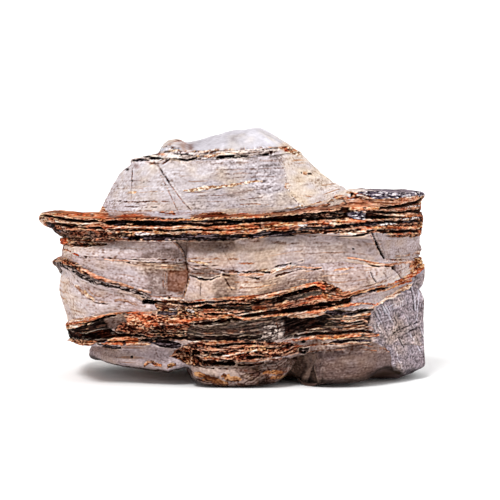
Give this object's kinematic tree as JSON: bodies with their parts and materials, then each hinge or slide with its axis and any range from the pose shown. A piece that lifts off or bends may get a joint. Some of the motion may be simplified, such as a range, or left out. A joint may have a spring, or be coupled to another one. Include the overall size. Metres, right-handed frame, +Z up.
{
  "type": "pagoda stone",
  "caption": "Pagoda stone: a resting block of layered rock, pale massive beds between thin rusty and dark plates that stand out as broken ledges, with a domed top.",
  "frame": {"origin": "on the surface that the stone rests on, below the middle of its box", "axes": "+X along the stone to the end with the grey fractured block, +Y to the back, +Z up"},
  "size_m": [0.2, 0.116, 0.129],
  "materials": {
    "stone": "dry, matte, rough"
  },
  "bodies": {
    "root": {"stone": "stone"}
  },
  "joints": []
}
